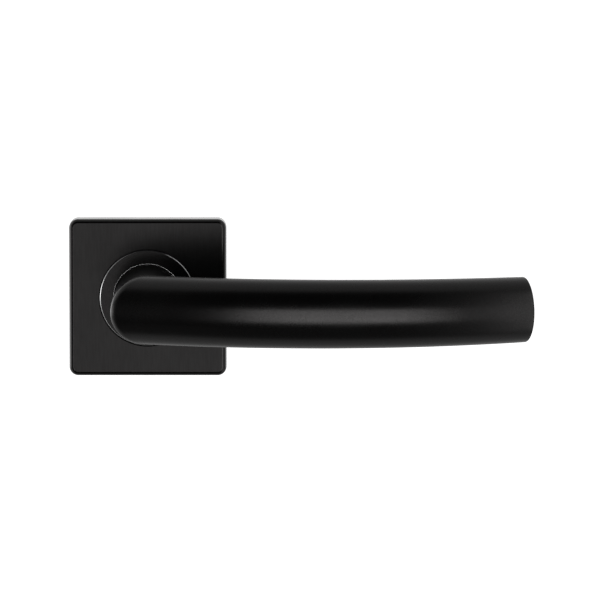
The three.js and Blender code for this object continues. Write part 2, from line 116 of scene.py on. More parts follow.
# ---- spring housing ----
HOUSING_RADIUS = 15.5 * MM
HOUSING_WALL = 1.2 * MM
HOUSING_SIDES = 144
HOUSING_FLANGE = 16.6 * MM
HOUSING_FLANGE_T = 0.4 * MM
HOUSING_EDGE = 0.15 * MM
LEG_ANGLE = math.radians(20)
LEG_NOTCH = 1.6 * MM
LEG_NOTCH_DEPTH = 1.5 * MM

# ---- return spring ----
WIRE_RADIUS = 0.5 * MM
WIRE_SIDES = 12
COIL_RADIUS = 12.6 * MM
COIL_TURNS = 2
COIL_PITCH = 1.2 * MM
COIL_GAP = 0.75 * MM  # from the cover's sheet to the centre line of the first coil
COIL_TOP = ROSE_FRONT + COVER_WALL + COIL_GAP
COIL_STEPS = 320  # steps a turn
OUT_LEG = 2.6 * MM
IN_LEG = 1.5 * MM
LEG_STEPS = 8
BEND_PASSES = 6  # each pass rounds the bends into the legs a little more

# ---- base plate ----
PLATE_CORNER = 1.4 * MM
PLATE_EDGE = 0.2 * MM
POST_RADIUS = 3.5 * MM
POST_ROOT = -0.8 * MM  # inside the plate
POST_STRAIGHT = 0.5 * MM  # the post tapers from here on
POST_DRAFT = 0.15 * MM
POST_EDGE = 0.5 * MM
POST_SIDES = 48
BUSH_HOLE = 8.9 * MM
PIN_CIRCLE = 10.4 * MM
PIN_HOLE = 0.95 * MM
PIN_SIDES = 24
CAST_EDGE = 0.12 * MM

# ---- bush and washer ----
BEARING_SIDES = 96

# ---- fixings ----
FIXING_SIDES = 32
THREAD_STEPS = 8  # rings a turn
RECESS_HALF = 0.45 * MM
HEAD_GAP = 0.3 * MM
HEAD_SEAT = plate_low.y - HEAD_GAP
BOLT_X = 19 * MM
BOLT_HOLE = 2.3 * MM
BOLT_THREAD = 26 * MM
BOLT_HEAD_EDGE = 0.5 * MM
BOLT_RECESS_DEPTH = 1.3 * MM
BOLT_RECESS_REACH = 1.8 * MM
BOLT_TIP = 1.2 * MM
BOLT_TIP_LENGTH = 0.8 * MM
M4_CREST = 2.0 * MM
M4_CORE = 1.62 * MM
M4_PITCH = 0.7 * MM
SCREW_AT = 18.5 * MM
SCREW_HOLE = 2.1 * MM
SCREW_HEAD_EDGE = 0.8 * MM
SCREW_HEAD_EDGE_DEPTH = 0.9 * MM
SCREW_RECESS_DEPTH = 1.1 * MM
SCREW_RECESS_REACH = 1.7 * MM
SCREW_SHANK = 1.5 * MM
SCREW_SHANK_END = 0.5 * MM
SCREW_CREST = 1.75 * MM
SCREW_CORE = 1.15 * MM
SCREW_PITCH = 1.7 * MM
SCREW_THREAD_START = 1 * MM
SCREW_THREAD_END = 14.5 * MM
SCREW_POINT = 0.05 * MM
NUT_SIDES = 48
NUT_BODY = 3.2 * MM
NUT_BORE = 2.2 * MM
NUT_FLANGE_T = 2 * MM
NUT_FLANGE_ROOT = 3.2 * MM  # the body widens into the flange from here, measured from the far end
NUT_FLOOR_T = 3 * MM  # solid metal at the far end, over which the bore ends
NUT_FLANGE_EDGE = 0.8 * MM
NUT_FLANGE_STEPS = 5
NUT_SLOT_DEPTH = 0.9 * MM
NUT_SLOT_HALF = 0.5 * MM
NUT_SLOT_REACH = 6 * MM
NUT_EDGE = 0.08 * MM

# ---- pieces that keep their CAD shape ----
KEPT_EDGE = 0.05 * MM

# ---- camera ----
CAMERA_ELEVATION = math.radians(7)
CAMERA_DISTANCE = 2.0
CAMERA_LENS = 363.6
CAMERA_TARGET = Vector((50.26, -8, -0.665)) * MM

# ---- surroundings ----
FLOOR_Z = -0.5
FLOOR_HALF = 30.0
FLOOR_GREY = 0.9
FLOOR_GLOW = 0.9
# In front of the handle the studio's level of light follows the sideways part of the direction, from
# -1 at the left to 1 at the right.
FRONT_LEVELS = (
    (-1.0, 2.6), (-0.975, 1.0), (-0.93, 0.3), (-0.85, 0.2), (-0.75, 0.12), (-0.56, 0.03),
    (-0.37, 0.008), (0.2, 0.008), (0.36, 0.012), (0.48, 0.08), (0.57, 0.3), (0.65, 0.9),
    (0.7, 1.1), (0.85, 0.9), (0.95, 0.3), (1.0, 0.1),
)
# Behind the handle it follows the height, from 0 at the horizon to 1 straight up or down, times a
# share that follows the sideways part: most towards the left, least at the far right.
BEHIND_LEVELS = ((0.0, 1.2), (0.14, 1.1), (0.3, 0.45), (0.55, 0.42), (0.75, 0.28), (1.0, 0.27))
BEHIND_SHARES = ((-1.0, 0.8), (-0.9, 1.5), (-0.8, 1.8), (-0.5, 1.1), (0.8, 1.0), (0.95, 0.7), (1.0, 0.2))
# The front fades into the back between these two depths of the direction.
FRONT_END = -0.16
BEHIND_START = 0.08
# A steep direction counts as further to the side, by STEEP_SHARE * height ** STEEP_POWER of itself.
STEEP_SHARE = 0.5
STEEP_POWER = 6

# ---- finishes ----
# Scales of noise are in features a metre.
LINE_SCALE = 3200
GRAIN_SCALE = 2600
CLOUD_SCALE = 60
GRAIN_DEPTH = 0.004 * MM
NOISE_LOW = 0.3  # nearly all of a noise lies between these two values
NOISE_HIGH = 0.7
EVEN = (1, 1, 1)
UPRIGHT = (1, 0.02, 0.02)
SHORT_UPRIGHT = (1, 0.08, 0.08)
BRIGHT_GLOSS = (1.0, 0.97, 0.97)
DULL_GLOSS = (0.72, 0.695, 0.695)
ROSE_DULL_GLOSS = (0.86, 0.83, 0.83)
ROSE_TILT = 0.058
ROSE_DISH = 5  # how much that tilt grows with height, a metre
RIM_HIGHLIGHT_FALL = -30  # how fast the painted highlight on the ring's edge fades towards the right, a metre


# ================================================================ mesh helpers
def link(name, points, faces):
    """A new mesh object with merged points and outward faces."""
    mesh = bpy.data.meshes.new(name)
    mesh.from_pydata([tuple(p) for p in points], [], faces)
    cleaned = bmesh.new()
    cleaned.from_mesh(mesh)
    bmesh.ops.remove_doubles(cleaned, verts=cleaned.verts, dist=1e-7)
    bmesh.ops.recalc_face_normals(cleaned, faces=cleaned.faces)
    cleaned.to_mesh(mesh)
    cleaned.free()
    piece = bpy.data.objects.new(name, mesh)
    bpy.context.scene.collection.objects.link(piece)
    return piece


def dress(piece, node, material):
    """Shades a finished piece, gives it its finish and hides the CAD node that it stands for."""
    piece.data.shade_smooth()
    piece.data.set_sharp_from_angle(angle=SHARP)
    piece.data.materials.clear()
    piece.data.materials.append(material)
    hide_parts(node)


def settle(piece, body, node, material):
    """Dresses a rigid piece and puts it on its body."""
    dress(piece, node, material)
    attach(piece, body)


def skin(rings, looped=False):
    """Points and faces of a skin over rings with the same number of points. An open skin gets two caps."""
    count = len(rings[0])
    points = [p for ring in rings for p in ring]
    faces = []
    for i in range(len(rings) if looped else len(rings) - 1):
        here = i * count
        there = ((i + 1) % len(rings)) * count
        for j in range(count):
            k = (j + 1) % count
            faces.append((here + j, here + k, there + k, there + j))
    if not looped:
        last = (len(rings) - 1) * count
        faces.append(tuple(range(count)))
        faces.append(tuple(range(last, last + count)))
    return points, faces


def circle(radius, y, count):
    """A ring about the Y axis."""
    turns = [TURN * i / count for i in range(count)]
    return [Vector((radius * math.cos(t), y, radius * math.sin(t))) for t in turns]


def turned(profile, count, looped=False):
    """A skin turned about the Y axis from (radius, y) pairs."""
    return skin([circle(r, y, count) for r, y in profile], looped)


def quarter_round(width, steps, depth=None):
    """(inset, depth) pairs of a rounded edge, from the face (width, 0) to the side (0, depth)."""
    turns = [math.pi / 2 * i / steps for i in range(steps + 1)]
    return [(width * (1 - math.sin(t)), (depth or width) * (1 - math.cos(t))) for t in turns]


def combine(piece, tools, operation):
    """Cuts tool shapes out of a piece, or joins them to it, and removes the tools."""
    for tool in tools:
        modifier = piece.modifiers.new("combine", "BOOLEAN")
        modifier.operation = operation
        modifier.solver = "EXACT"
        modifier.object = tool
    bpy.context.view_layer.update()
    shaped = piece.evaluated_get(bpy.context.evaluated_depsgraph_get())
    result = bpy.data.meshes.new_from_object(shaped)
    piece.modifiers.clear()
    piece.data = result
    for tool in tools:
        bpy.data.objects.remove(tool)


def shifted(shape, x=0.0, y=0.0, z=0.0):
    """A shape, as points and faces, moved sideways, in depth or upwards."""
    points, faces = shape
    return [p + Vector((x, y, z)) for p in points], faces


def rod(radius, y0, y1, count=FIXING_SIDES):
    """A round bar along the Y axis."""
    return turned([(radius, y0), (radius, y1)], count)


def box(low, high):
    """A block between two corners."""
    corners = [Vector((x, y, z)) for x in (low[0], high[0]) for y in (low[1], high[1])
               for z in (low[2], high[2])]
    faces = [(0, 1, 3, 2), (4, 6, 7, 5), (0, 4, 5, 1), (2, 3, 7, 6), (0, 2, 6, 4), (1, 5, 7, 3)]
    return corners, faces


def soften(piece, width):
    """A fine rounding on every hard edge."""
    bevel = piece.modifiers.new("edges", "BEVEL")
    bevel.width = width
    bevel.segments = 2
    bevel.limit_method = "ANGLE"
    bevel.angle_limit = SHARP
    bevel.harden_normals = False


def level_faces(piece):
    """Shades wide faces flat right up to the fine rounding at their edges."""
    weighted = piece.modifiers.new("level_faces", "WEIGHTED_NORMAL")
    weighted.mode = "FACE_AREA"
    weighted.weight = 100
    weighted.keep_sharp = True


# ================================================================ lever
def arc_point(angle):
    """A point of the bar's centre line, by the bearing of its arc."""
    x = ARC_APEX_X + ARC_RADIUS * math.sin(angle)
    y = ARC_RADIUS - ARC_APEX_DEPTH - ARC_RADIUS * math.cos(angle)
    return Vector((x, y, 0))


start_angle = math.asin((ARC_START_X - ARC_APEX_X) / ARC_RADIUS)
end_angle = math.asin((TIP_X - ARC_APEX_X) / ARC_RADIUS)
mitre_slope = math.tan((math.pi / 2 + start_angle) / 2)
mitre_centre = Vector((0, arc_point(start_angle).y - math.tan(start_angle) * ARC_START_X, 0))


def bar_radius(x):
    """The bar thins towards its tip."""
    return BAR_RADIUS - TIP_TAPER * max(0, x / TIP_X) ** 3


def neck_ring(radius, y, lean, count):
    """A ring of the neck: lean 0 is square to the neck, lean 1 lies in the mitre."""
    return [Vector((p.x, p.y + lean * mitre_slope * p.x, p.z)) for p in circle(radius, y, count)]


def arm_ring(centre, angle, radius, along, lean, count):
    """A ring of the arm. Each point slides down the bar by along, plus lean times its side offset."""
    tangent = Vector((math.cos(angle), math.sin(angle), 0))
    side = Vector((-math.sin(angle), math.cos(angle), 0))
    ring = []
    for i in range(count):
        theta = TURN * i / count
        offset = radius * math.cos(theta)
        height = Vector((0, 0, radius * math.sin(theta)))
        ring.append(centre + side * offset + tangent * (along + lean * offset) + height)
    return ring


def elbow_rings(radius, reach, steps, count):
    """Each surface line turns from the neck to the arm through a parabola."""
    before = neck_ring(radius, mitre_centre.y + reach, 1, count)
    corner = neck_ring(radius, mitre_centre.y, 1, count)
    after = arm_ring(mitre_centre, start_angle, radius, reach, mitre_slope, count)
    rings = []
    for t in [s / steps for s in range(steps + 1)]:
        shares = ((1 - t) ** 2, 2 * t * (1 - t), t ** 2)
        rings.append([b * shares[0] + c * shares[1] + a * shares[2]
                      for b, c, a in zip(before, corner, after)])
    return rings


def arm_rings(inset, steps, last_angle, count):
    """Rings square to the bar, from the mitre along the arc, inside the bar's surface by inset."""
    rings = []
    for s in range(steps + 1):
        angle = start_angle + (last_angle - start_angle) * s / steps
        centre = arc_point(angle)
        rings.append(arm_ring(centre, angle, bar_radius(centre.x) - inset, 0, 0, count))
    return rings


def tip_rings(count):
    """The rounded edge of the end face, then the flat face towards its middle."""
    lean = math.tan(end_angle - TIP_FACE_ANGLE)
    centre = arc_point(end_angle)
    radius = bar_radius(TIP_X)
    rings = [arm_ring(centre, end_angle, radius - inset, -depth, lean, count)
             for inset, depth in reversed(quarter_round(TIP_FILLET, TIP_FILLET_STEPS))]
    for share in TIP_FACE_RINGS:
        rings.append(arm_ring(centre, end_angle, (radius - TIP_FILLET) * share, 0, lean, count))
    return rings


def make_lever(material, neck_shade_material):
    """A hollow bar, open at the neck, with its neck in a copy of the bar's coat that has far less gloss, as
    painted shade.
    """
    bore = BAR_RADIUS - BAR_WALL
    outside = [
        neck_ring(BAR_RADIUS - NECK_RIM, lever_high.y, 0, BAR_SIDES),
        neck_ring(BAR_RADIUS, lever_high.y - NECK_RIM, 0, BAR_SIDES),
        *elbow_rings(BAR_RADIUS, MITRE_ROUNDING, ELBOW_STEPS, BAR_SIDES),
        *arm_rings(0, ARM_STEPS, end_angle - TIP_LEAD / ARC_RADIUS, BAR_SIDES),
        *tip_rings(BAR_SIDES),
    ]
    inside = [
        neck_ring(bore, lever_high.y, 0, BAR_SIDES),
        *elbow_rings(bore, MITRE_ROUNDING, BORE_ELBOW_STEPS, BAR_SIDES),
        *arm_rings(BAR_WALL, BORE_ARM_STEPS, end_angle - TIP_WALL / ARC_RADIUS, BAR_SIDES),
    ]
    lever = link("lever_bar", *skin([*reversed(inside), *outside]))
    points, faces = rod(GRUB_HOLE, 0, 2 * BAR_RADIUS, GRUB_SIDES)
    downward = [Vector((p.x, GRUB_Y + p.z, -p.y)) for p in points]
    combine(lever, [link("grub_hole", downward, faces)], "DIFFERENCE")
    settle(lever, "lever", "lever", material)
    lever.data.materials.append(neck_shade_material)
    # The outside of the neck takes the low-gloss copy of the coat that paints it in shade.
    for polygon in lever.data.polygons:
        along_neck = abs(polygon.normal.y) < 0.001
        outer = math.hypot(polygon.center.x, polygon.center.z) > BAR_RADIUS * 0.98
        if along_neck and outer:
            polygon.material_index = 1


# ================================================================ rose
def square_outline(half, corner, y, per_corner=16, per_side=24):
    """A rounded square as a ring of points at depth y."""
    arcs = []
    for quarter in range(4):
        cx = (half - corner) * (1 if quarter in (0, 3) else -1)
        cz = (half - corner) * (1 if quarter < 2 else -1)
        turns = [(quarter + i / per_corner) * math.pi / 2 for i in range(per_corner + 1)]
        arcs.append([Vector((cx + corner * math.cos(t), y, cz + corner * math.sin(t))) for t in turns])
    ring = []
    for arc, following in zip(arcs, arcs[1:] + arcs[:1]):
        ring += arc
        ring += [arc[-1].lerp(following[0], i / per_side) for i in range(1, per_side)]
    return ring


def hole_outline(radius, y):
    """A round ring whose points stand at the same bearings as the cover's outline."""
    ring = []
    for p in square_outline(ROSE_HALF, ROSE_CORNER, y):
        ring.append(p * (radius / math.hypot(p.x, p.z)))
        ring[-1].y = y
    return ring


def make_rose_cover(material, face_material):
    """A pressed square cover with a round hole. Its flat face, and the part of its rounded top and bottom
    edges that still faces forwards, have the brushed finish."""
    inner_face = ROSE_FRONT + COVER_WALL
    inner_half = ROSE_HALF - COVER_WALL
    inner_corner = ROSE_CORNER - COVER_WALL
    rings = [hole_outline(COVER_HOLE, inner_face)]
    for inset, depth in reversed(quarter_round(HOLE_EDGE, HOLE_EDGE_STEPS)):
        rings.append(hole_outline(COVER_HOLE + inset, ROSE_FRONT + depth))
    for inset, depth in quarter_round(ROSE_EDGE, ROSE_EDGE_STEPS, ROSE_EDGE_DEPTH):
        rings.append(square_outline(ROSE_HALF - inset, ROSE_CORNER - inset, ROSE_FRONT + depth))
    rings += [
        square_outline(ROSE_HALF, ROSE_CORNER, cover_high.y - COVER_RIM),
        square_outline(ROSE_HALF - COVER_RIM, ROSE_CORNER - COVER_RIM, cover_high.y),
        square_outline(inner_half, inner_corner, cover_high.y),
        square_outline(inner_half, inner_corner, inner_face),
    ]
    cover = link("rose_cover_shell", *skin(rings, looped=True))
    settle(cover, "rose", "rose_cover", material)
    cover.data.materials.append(face_material)
    for polygon in cover.data.polygons:
        in_front = polygon.center.y < ROSE_FRONT + MM / 2
        flat = polygon.normal.y < -0.999
        brushed_over = polygon.normal.y < -0.9 and abs(polygon.normal.z) > abs(polygon.normal.x)
        if in_front and (flat or brushed_over):
            polygon.material_index = 1
    level_faces(cover)


def make_guide_ring(material, bead_material, rim_highlight_material):
    """A flat ring with a fine bead and a groove round its bore, and a chamfer round its outside."""
    bead = BEAD_WIDTH / 2
    bead_end = RING_BORE + BEAD_WIDTH
    groove_end = bead_end + BEAD_GROOVE
    profile = [(RING_BORE, ring_high.y)]
    for step in range(BEAD_STEPS + 1):
        turn = math.pi * step / BEAD_STEPS
        radius = RING_BORE + bead - bead * math.cos(turn)
        profile.append((radius, ring_low.y + bead - bead * math.sin(turn)))
    profile += [
        (groove_end, ring_low.y + bead),
        (groove_end, ring_low.y),
        (ring_high.x - RING_CHAMFER, ring_low.y),
        (ring_high.x, ring_low.y + RING_CHAMFER_DEPTH),
        (ring_high.x, ring_high.y),
    ]
    ring = link("guide_ring_face", *turned(profile, RING_SIDES, looped=True))
    settle(ring, "rose", "guide_ring", material)
    ring.data.materials.append(bead_material)
    ring.data.materials.append(rim_highlight_material)
    for polygon in ring.data.polygons:
        sloping = -0.98 < polygon.normal.y < -0.02
        if math.hypot(polygon.center.x, polygon.center.z) < bead_end:
            polygon.material_index = 1
        # The sloping chamfer takes the rubbed metal with the painted highlight.
        elif sloping:
            polygon.material_index = 2
    level_faces(ring)


def make_base_plate(material):
    """A cast plate with two posts, and holes for the bush, the bolts, the stop pins and the screws."""
    edges = ((PLATE_EDGE, plate_low.y), (0, plate_low.y + PLATE_EDGE), (0, -PLATE_EDGE), (PLATE_EDGE, 0))
    rings = [square_outline(plate_high.x - inset, PLATE_CORNER, y, per_corner=8, per_side=2)
             for inset, y in edges]
    slab = link("base_plate_casting", *skin(rings))
    posts = [
        (POST_RADIUS, POST_ROOT),
        (POST_RADIUS, POST_STRAIGHT),
        (POST_RADIUS - POST_DRAFT, plate_high.y - POST_EDGE),
        (POST_RADIUS - POST_DRAFT - POST_EDGE, plate_high.y),
    ]
    both = [shifted(turned(posts, POST_SIDES), x=side * BOLT_X) for side in (-1, 1)]
    combine(slab, [link("post", *shape) for shape in both], "UNION")
    through = (plate_low.y - MM, plate_high.y + MM)
    holes = [rod(BUSH_HOLE, *through, BEARING_SIDES)]
    holes += [shifted(rod(BOLT_HOLE, *through), x=side * BOLT_X) for side in (-1, 1)]
    holes += [shifted(rod(PIN_HOLE, *through, PIN_SIDES), z=side * PIN_CIRCLE) for side in (-1, 1)]
    holes += [shifted(rod(SCREW_HOLE, *through), x=x * SCREW_AT, z=z * SCREW_AT)
              for x in (-1, 1) for z in (-1, 1)]
    combine(slab, [link("hole", *shape) for shape in holes], "DIFFERENCE")
    soften(slab, CAST_EDGE)
    settle(slab, "rose", "base_plate", material)


def make_spring_housing(material):
    """The moulded ring round the spring, with a flange under the cover that closes the gap round the ring."""
    low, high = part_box("spring_housing")
    inner = HOUSING_RADIUS - HOUSING_WALL
    flange_back = low.y + HOUSING_FLANGE_T
    profile = [
        (inner, low.y + HOUSING_EDGE),
        (inner + HOUSING_EDGE, low.y),
        (HOUSING_FLANGE - HOUSING_EDGE, low.y),
        (HOUSING_FLANGE, low.y + HOUSING_EDGE),
        (HOUSING_FLANGE, flange_back),
        (HOUSING_RADIUS, flange_back),
        (HOUSING_RADIUS, high.y),
        (inner, high.y),
    ]
    housing = link("spring_housing_moulding", *turned(profile, HOUSING_SIDES, looped=True))
    points, faces = box((inner - 2 * MM, low.y - MM, -LEG_NOTCH / 2),
                        (HOUSING_FLANGE + MM, low.y + LEG_NOTCH_DEPTH, LEG_NOTCH / 2))
    bearing = Matrix.Rotation(-LEG_ANGLE, 3, "Y")
    combine(housing, [link("leg_notch", [bearing @ Vector(p) for p in points], faces)], "DIFFERENCE")
    settle(housing, "rose", "spring_housing", material)


# ================================================================ return spring
def spring_path():
    """Centre line of the wire: a leg out into the housing, the coils, and a leg into the driver plate."""
    outward = Vector((math.cos(LEG_ANGLE), 0, math.sin(LEG_ANGLE)))
    drop = Vector((0, COIL_TURNS * COIL_PITCH, 0))
    start = Vector((0, COIL_TOP, 0))
    points = []
    for i in range(LEG_STEPS):
        points.append(start + outward * (COIL_RADIUS + OUT_LEG * (1 - i / LEG_STEPS)))
    steps = COIL_STEPS * COIL_TURNS
    for i in range(steps + 1):
        share = i / steps
        angle = LEG_ANGLE - share * COIL_TURNS * TURN
        around = Vector((math.cos(angle), 0, math.sin(angle)))
        points.append(start + around * COIL_RADIUS + drop * share)
    foot = points[-1]
    points += [foot + Vector((0, IN_LEG * i / LEG_STEPS, 0)) for i in range(1, LEG_STEPS + 1)]
    for _ in range(BEND_PASSES):
        middle = [(a + b * 2 + c) / 4 for a, b, c in zip(points, points[1:], points[2:])]
        points = [points[0], *middle, points[-1]]
    return points


def make_return_spring(material):
    """A torsion spring whose legs sit in the rose's housing and the lever's driver plate."""
    path = spring_path()
    side = Vector((0, 1, 0))
    rings = []
    for i, point in enumerate(path):
        along = (path[min(i + 1, len(path) - 1)] - path[max(i - 1, 0)]).normalized()
        side = (side - along * side.dot(along)).normalized()
        across = along.cross(side)
        turns = [TURN * j / WIRE_SIDES for j in range(WIRE_SIDES)]
        rings.append([point + (side * math.cos(t) + across * math.sin(t)) * WIRE_RADIUS for t in turns])
    spring = link("return_spring_wire", *skin(rings))
    dress(spring, "return_spring", material)
    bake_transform(spring)


# ================================================================ fixings
def thread(core, crest, pitch, y0, y1):
    """Rings of a screw thread, which fades in and out over one turn at each end."""
    count = FIXING_SIDES
    rings = []
    total = round((y1 - y0) / pitch * THREAD_STEPS)
    for s in range(total + 1):
        y = y0 + (y1 - y0) * s / total
        fade = min(1, (y - y0) / pitch, (y1 - y) / pitch)
        ring = []
        for i in range(count):
            phase = (y / pitch - i / count) % 1
            radius = core + (crest - core) * fade * (1 - abs(2 * phase - 1))
            t = TURN * i / count
            ring.append(Vector((radius * math.cos(t), y, radius * math.sin(t))))
        rings.append(ring)
    return rings


def cross_recess(face_y, depth, reach):
    """Two crossed bars that cut a cross recess into a screw's head."""
    across = box((-reach, face_y - MM, -RECESS_HALF), (reach, face_y + depth, RECESS_HALF))
    upright = box((-RECESS_HALF, face_y - MM, -reach), (RECESS_HALF, face_y + depth, reach))
    return [across, upright]


def make_fixing_bolt(node, material):
    """An M4 bolt with a low round head, a cross recess and a thread at its far end."""
    low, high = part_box(node)
    x = (low.x + high.x) / 2
    head = (high.x - low.x) / 2
    outline = [(head - BOLT_HEAD_EDGE, low.y), (head, low.y + BOLT_HEAD_EDGE), (head, HEAD_SEAT),
               (M4_CREST, HEAD_SEAT)]
    rings = [circle(r, y, FIXING_SIDES) for r, y in outline]
    rings += thread(M4_CORE, M4_CREST, M4_PITCH, high.y - BOLT_THREAD, high.y - BOLT_TIP_LENGTH)
    rings.append(circle(BOLT_TIP, high.y, FIXING_SIDES))
    bolt = link(node + "_m4", *shifted(skin(rings), x=x))
    bars = cross_recess(low.y, BOLT_RECESS_DEPTH, BOLT_RECESS_REACH)
    combine(bolt, [link("recess", *shifted(bar, x=x)) for bar in bars], "DIFFERENCE")
    settle(bolt, "rose", node, material)


def make_wood_screw(node, material):
    """A pointed screw with a coarse thread and a cross recess."""
    low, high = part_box(node)
    x = (low.x + high.x) / 2
    z = (low.z + high.z) / 2
    head = (high.x - low.x) / 2
    outline = [(head - SCREW_HEAD_EDGE, low.y), (head, low.y + SCREW_HEAD_EDGE_DEPTH), (head, HEAD_SEAT),
               (SCREW_SHANK, HEAD_SEAT), (SCREW_SHANK, SCREW_SHANK_END)]
    rings = [circle(r, y, FIXING_SIDES) for r, y in outline]
    rings += thread(SCREW_CORE, SCREW_CREST, SCREW_PITCH, SCREW_THREAD_START, SCREW_THREAD_END)
    rings.append(circle(SCREW_POINT, high.y, FIXING_SIDES))
    screw = link(node + "_turned", *shifted(skin(rings), x=x, z=z))
    bars = cross_recess(low.y, SCREW_RECESS_DEPTH, SCREW_RECESS_REACH)
    combine(screw, [link("recess", *shifted(bar, x=x, z=z)) for bar in bars], "DIFFERENCE")
    settle(screw, "rose", node, material)


def make_sleeve_nut(node, material):
    """A long nut, open towards the bolt, with a domed flange and a screwdriver slot."""
    low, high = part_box(node)
    x = (low.x + high.x) / 2
    flange = (high.x - low.x) / 2
    chamfer = 0.3 * MM
    middle = 0.01 * MM
    floor = high.y - NUT_FLOOR_T
    profile = [
        (middle, floor),
        (NUT_BORE, floor),
        (NUT_BORE, low.y + chamfer),
        (NUT_BORE + chamfer, low.y),
        (NUT_BODY - chamfer, low.y),
        (NUT_BODY, low.y + chamfer),
        (NUT_BODY, high.y - NUT_FLANGE_ROOT),
        (flange, high.y - NUT_FLANGE_T),
    ]
    profile += [(flange - inset, high.y - depth)
                for inset, depth in reversed(quarter_round(NUT_FLANGE_EDGE, NUT_FLANGE_STEPS))]
    profile.append((middle, high.y))
    nut = link(node + "_turned", *shifted(turned(profile, NUT_SIDES), x=x))
    slot = box((x - NUT_SLOT_REACH, high.y - NUT_SLOT_DEPTH, -NUT_SLOT_HALF),
               (x + NUT_SLOT_REACH, high.y + MM, NUT_SLOT_HALF))
    combine(nut, [link("slot", *slot)], "DIFFERENCE")
    soften(nut, NUT_EDGE)
    settle(nut, "rose", node, material)


def make_spindle(material):
    """A square bar with rounded edges and chamfered ends."""
    corner = 0.45 * MM
    chamfer = 0.6 * MM
    ends = ((chamfer, spindle_low.y), (0, spindle_low.y + chamfer),
            (0, spindle_high.y - chamfer), (chamfer, spindle_high.y))
    rings = [square_outline(spindle_high.z - inset, corner, y, per_corner=5, per_side=3)
             for inset, y in ends]
    settle(link("spindle_bar", *skin(rings)), "lever", "spindle", material)


def make_bush(material):
    """A flanged bush that lines the base plate's hole."""
    bore = 7.46 * MM
    body = 8.6 * MM
    edge = 0.2 * MM
    bore_edge = 0.1 * MM
    flange = bush_high.x
    flange_front = 0.3 * MM
    profile = [
        (bore, bush_low.y),
        (body - edge, bush_low.y),
        (body, bush_low.y + edge),
        (body, flange_front),
        (flange, flange_front),
        (flange, bush_high.y - edge),
        (flange - edge, bush_high.y),
        (bore + bore_edge, bush_high.y),
        (bore, bush_high.y - bore_edge),
    ]
    bush = link("base_bush_moulding", *turned(profile, BEARING_SIDES, looped=True))
    settle(bush, "rose", "base_bush", material)


def make_washer(material):
    """A flat washer with its outer edges broken."""
    inner = 7.6 * MM
    outer = washer_high.x
    edge = 0.12 * MM
    profile = [
        (inner, washer_low.y),
        (outer - edge, washer_low.y),
        (outer, washer_low.y + edge),
        (outer, washer_high.y - edge),
        (outer - edge, washer_high.y),
        (inner, washer_high.y),
    ]
    washer = link("thrust_washer_disc", *turned(profile, BEARING_SIDES, looped=True))
    settle(washer, "lever", "thrust_washer", material)


# ================================================================ materials
def grey(value):
    """A neutral colour."""
    return (value, value, value)


def add_math(nodes, links, operation, *values):
    """A math node. Each value is another node's output or a plain number."""
    node = nodes.new("ShaderNodeMath")
    node.operation = operation
    for socket, value in zip(node.inputs, values):
        if isinstance(value, (int, float)):
            socket.default_value = value
        else:
            links.new(value, socket)
    return node.outputs["Value"]


class Shader:
    """A node material with short ways to add its texture nodes."""

    def __init__(self, name, colour, metallic, roughness):
        self.material = bpy.data.materials.new(name)
        self.material.use_nodes = True
        self.nodes = self.material.node_tree.nodes
        self.links = self.material.node_tree.links
        self.base = self.nodes["Principled BSDF"]
        self.base.inputs["Base Color"].default_value = (*colour, 1)
        self.base.inputs["Metallic"].default_value = metallic
        self.base.inputs["Roughness"].default_value = roughness
        self.place = self.nodes.new("ShaderNodeTexCoord").outputs["Object"]

    def noise(self, scale, detail, stretch=EVEN):
        """Noise with scale features a metre, drawn out along the axes with a small stretch."""
        mapping = self.nodes.new("ShaderNodeMapping")
        mapping.inputs["Scale"].default_value = stretch
        self.links.new(self.place, mapping.inputs["Vector"])
        noise = self.nodes.new("ShaderNodeTexNoise")
        noise.inputs["Scale"].default_value = scale
        noise.inputs["Detail"].default_value = detail
        self.links.new(mapping.outputs["Vector"], noise.inputs["Vector"])
        return noise.outputs["Fac"]

    def spread(self, value, low, high):
        """Carries noise onto the range from low to high."""
        node = self.nodes.new("ShaderNodeMapRange")
        node.inputs["From Min"].default_value = NOISE_LOW
        node.inputs["From Max"].default_value = NOISE_HIGH
        node.inputs["To Min"].default_value = low
        node.inputs["To Max"].default_value = high
        self.links.new(value, node.inputs["Value"])
        return node.outputs["Result"]

    def roughen(self, value, low, high):
        """Roughness that varies with noise."""
        self.links.new(self.spread(value, low, high), self.base.inputs["Roughness"])

    def tint(self, value, dark, light, socket="Base Color"):
        """A colour that varies with noise."""
        ramp = self.nodes.new("ShaderNodeValToRGB")
        ramp.color_ramp.elements[0].position = NOISE_LOW
        ramp.color_ramp.elements[0].color = (*dark, 1)
        ramp.color_ramp.elements[1].position = NOISE_HIGH
        ramp.color_ramp.elements[1].color = (*light, 1)
        self.links.new(value, ramp.inputs["Fac"])
        self.links.new(ramp.outputs["Color"], self.base.inputs[socket])

    def part(self, axis):
        """One of the coordinates of a point of the piece, in metres."""
        split = self.nodes.new("ShaderNodeSeparateXYZ")
        self.links.new(self.place, split.inputs["Vector"])
        return split.outputs[axis]

    def math(self, operation, *values):
        """Another value worked out from values of this material."""
        return add_math(self.nodes, self.links, operation, *values)

    def bump(self, value, height):
        """Relief of a height in metres, on top of any relief that is there already."""
        node = self.nodes.new("ShaderNodeBump")
        node.inputs["Strength"].default_value = 1.0
        node.inputs["Distance"].default_value = height
        self.links.new(value, node.inputs["Height"])
        before = self.base.inputs["Normal"]
        if before.is_linked:
            self.links.new(before.links[0].from_socket, node.inputs["Normal"])
        self.links.new(node.outputs["Normal"], before)


